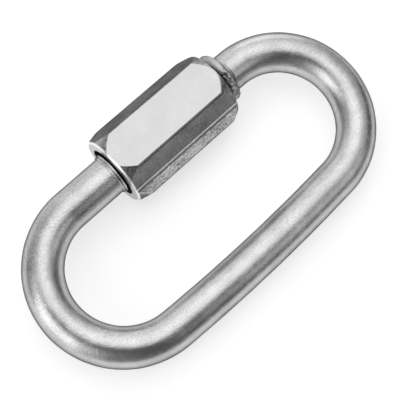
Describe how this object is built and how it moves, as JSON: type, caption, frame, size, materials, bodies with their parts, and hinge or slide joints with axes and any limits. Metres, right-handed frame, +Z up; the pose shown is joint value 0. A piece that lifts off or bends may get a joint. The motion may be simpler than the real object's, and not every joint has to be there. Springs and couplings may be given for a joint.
{
  "type": "chain quick link",
  "caption": "Oval chain quick link of bent round steel bar, its threaded gate closed by a long hexagonal sleeve nut, for joining chain, rope or fittings.",
  "frame": {"origin": "middle of the bounding box on the floor the link lies on, with the nut closed", "axes": "+X along the nut's axis towards the stop collar, +Y from the back side towards the nut side, +Z up from the floor"},
  "size_m": [0.0402, 0.0214, 0.0072],
  "materials": {
    "bar_steel": "tumbled satin stainless steel",
    "nut_steel": "tumbled satin stainless steel, drawn flats"
  },
  "bodies": {
    "link": {"link_body": "bar_steel"},
    "nut": {"hex_nut": "nut_steel"}
  },
  "joints": [
    {"name": "nut_travel", "type": "slide", "parent": "link", "child": "nut", "axis": [-1, 0, 0], "range_m": [0, 0.007]}
  ]
}
